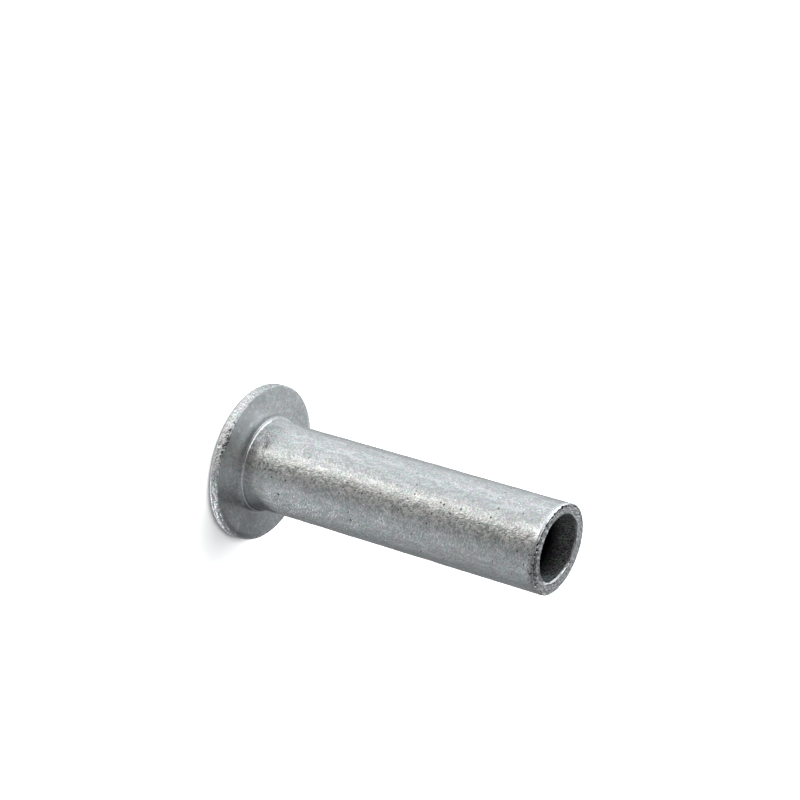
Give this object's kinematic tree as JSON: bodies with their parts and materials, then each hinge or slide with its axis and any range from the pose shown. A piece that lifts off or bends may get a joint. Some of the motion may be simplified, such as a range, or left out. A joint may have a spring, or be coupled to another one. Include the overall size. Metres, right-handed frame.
{
  "type": "tubular rivet",
  "caption": "Plain metal rivet with a thin flat round head, a low collar under it and a long straight shank bored deep from the tail.",
  "frame": {"origin": "centre of the head's outer face, on which the rivet stands", "axes": "+Z along the rivet's axis from the head to the tail, where the bore opens; -X towards the higher side of the tail's slightly slanting face"},
  "size_m": [0.0106, 0.0106, 0.0232],
  "materials": {
    "satin_aluminium": "satin, finely pitted as headed and tumbled"
  },
  "bodies": {
    "root": {"rivet_body": "satin_aluminium"}
  },
  "joints": []
}
